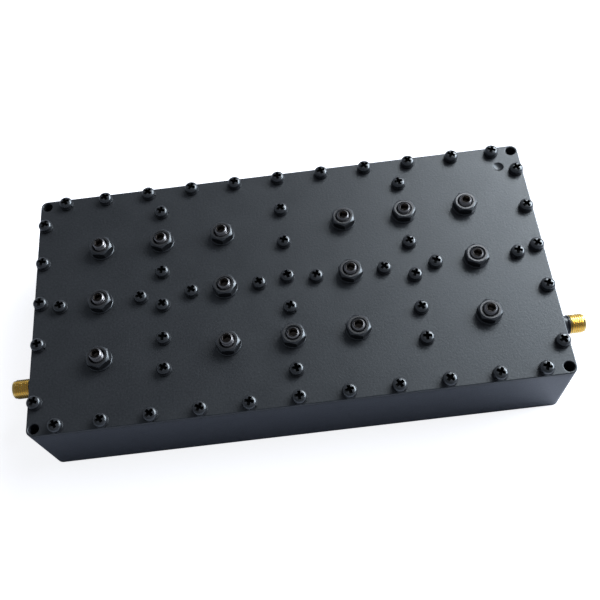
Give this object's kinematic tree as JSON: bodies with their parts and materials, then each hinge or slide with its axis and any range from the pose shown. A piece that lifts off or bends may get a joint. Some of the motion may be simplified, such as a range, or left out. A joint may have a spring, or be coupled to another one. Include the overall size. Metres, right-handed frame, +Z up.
{
  "type": "cavity bandpass filter",
  "caption": "Comb-line cavity bandpass filter in a flat black metal housing, with screwed cover, locked tuning screws and a threaded coaxial jack on each end.",
  "frame": {"origin": "middle of the underside of the housing", "axes": "+X along the length from the left jack to the right one, +Y to the back long side, +Z up through the cover"},
  "size_m": [0.1876, 0.0864, 0.031],
  "materials": {
    "painted_body": "fine matte black paint on milled aluminium",
    "painted_cover": "fine grained matte black paint",
    "bare_aluminium": "milled, not painted",
    "steel_screws": "plain steel",
    "tuner_metal": "dark plated brass, bright inside the socket",
    "black_nuts": "black paint over metal, satin",
    "black_screws": "black plated steel, satin gloss",
    "gold_plate": "gold plated brass, polished",
    "white_ptfe": "white fluoropolymer"
  },
  "bodies": {
    "filter_body": {"housing": "painted_body", "cover": "painted_cover", "resonator_screws": "steel_screws", "tuning_locknuts": "black_nuts", "coupling_locknuts": "black_nuts", "tuning_washers": "black_nuts", "coupling_washers": "black_nuts", "resonator_1": "bare_aluminium", "resonator_2": "bare_aluminium", "resonator_3": "bare_aluminium", "resonator_4": "bare_aluminium", "resonator_5": "bare_aluminium", "resonator_6": "bare_aluminium", "resonator_7": "bare_aluminium", "resonator_8": "bare_aluminium", "front_cover_screws": "black_screws", "front_spring_washers": "black_screws", "back_cover_screws": "black_screws", "back_spring_washers": "black_screws", "end_cover_screws": "black_screws", "end_spring_washers": "black_screws", "wall_cover_screws": "black_screws", "wall_spring_washers": "black_screws", "input_jack_body": "gold_plate", "input_dielectric": "white_ptfe", "input_contact": "gold_plate", "input_nut": "black_nuts", "input_lock_washer": "black_nuts", "input_tap": "gold_plate", "output_jack_body": "gold_plate", "output_dielectric": "white_ptfe", "output_contact": "gold_plate", "output_nut": "black_nuts", "output_lock_washer": "black_nuts", "output_tap": "gold_plate"},
    "tuning_screw_1_body": {"tuning_screw_1": "tuner_metal"},
    "tuning_screw_2_body": {"tuning_screw_2": "tuner_metal"},
    "tuning_screw_3_body": {"tuning_screw_3": "tuner_metal"},
    "tuning_screw_4_body": {"tuning_screw_4": "tuner_metal"},
    "tuning_screw_5_body": {"tuning_screw_5": "tuner_metal"},
    "tuning_screw_6_body": {"tuning_screw_6": "tuner_metal"},
    "tuning_screw_7_body": {"tuning_screw_7": "tuner_metal"},
    "tuning_screw_8_body": {"tuning_screw_8": "tuner_metal"},
    "coupling_screw_1_body": {"coupling_screw_1": "tuner_metal"},
    "coupling_screw_2_body": {"coupling_screw_2": "tuner_metal"},
    "coupling_screw_3_body": {"coupling_screw_3": "tuner_metal"},
    "coupling_screw_4_body": {"coupling_screw_4": "tuner_metal"},
    "coupling_screw_5_body": {"coupling_screw_5": "tuner_metal"},
    "coupling_screw_6_body": {"coupling_screw_6": "tuner_metal"},
    "coupling_screw_7_body": {"coupling_screw_7": "tuner_metal"}
  },
  "joints": [
    {"name": "tuning_screw_1_travel", "type": "slide", "parent": "filter_body", "child": "tuning_screw_1_body", "axis": [0, 0, 1], "range_m": [-0.0025, 0.0025]},
    {"name": "tuning_screw_2_travel", "type": "slide", "parent": "filter_body", "child": "tuning_screw_2_body", "axis": [0, 0, 1], "range_m": [-0.0025, 0.0025]},
    {"name": "tuning_screw_3_travel", "type": "slide", "parent": "filter_body", "child": "tuning_screw_3_body", "axis": [0, 0, 1], "range_m": [-0.0025, 0.0025]},
    {"name": "tuning_screw_4_travel", "type": "slide", "parent": "filter_body", "child": "tuning_screw_4_body", "axis": [0, 0, 1], "range_m": [-0.0025, 0.0025]},
    {"name": "tuning_screw_5_travel", "type": "slide", "parent": "filter_body", "child": "tuning_screw_5_body", "axis": [0, 0, 1], "range_m": [-0.0025, 0.0025]},
    {"name": "tuning_screw_6_travel", "type": "slide", "parent": "filter_body", "child": "tuning_screw_6_body", "axis": [0, 0, 1], "range_m": [-0.0025, 0.0025]},
    {"name": "tuning_screw_7_travel", "type": "slide", "parent": "filter_body", "child": "tuning_screw_7_body", "axis": [0, 0, 1], "range_m": [-0.0025, 0.0025]},
    {"name": "tuning_screw_8_travel", "type": "slide", "parent": "filter_body", "child": "tuning_screw_8_body", "axis": [0, 0, 1], "range_m": [-0.0025, 0.0025]},
    {"name": "coupling_screw_1_travel", "type": "slide", "parent": "filter_body", "child": "coupling_screw_1_body", "axis": [0, 0, 1], "range_m": [-0.0025, 0.0025]},
    {"name": "coupling_screw_2_travel", "type": "slide", "parent": "filter_body", "child": "coupling_screw_2_body", "axis": [0, 0, 1], "range_m": [-0.0025, 0.0025]},
    {"name": "coupling_screw_3_travel", "type": "slide", "parent": "filter_body", "child": "coupling_screw_3_body", "axis": [0, 0, 1], "range_m": [-0.0025, 0.0025]},
    {"name": "coupling_screw_4_travel", "type": "slide", "parent": "filter_body", "child": "coupling_screw_4_body", "axis": [0, 0, 1], "range_m": [-0.0025, 0.0025]},
    {"name": "coupling_screw_5_travel", "type": "slide", "parent": "filter_body", "child": "coupling_screw_5_body", "axis": [0, 0, 1], "range_m": [-0.0025, 0.0025]},
    {"name": "coupling_screw_6_travel", "type": "slide", "parent": "filter_body", "child": "coupling_screw_6_body", "axis": [0, 0, 1], "range_m": [-0.0025, 0.0025]},
    {"name": "coupling_screw_7_travel", "type": "slide", "parent": "filter_body", "child": "coupling_screw_7_body", "axis": [0, 0, 1], "range_m": [-0.0025, 0.0025]}
  ]
}
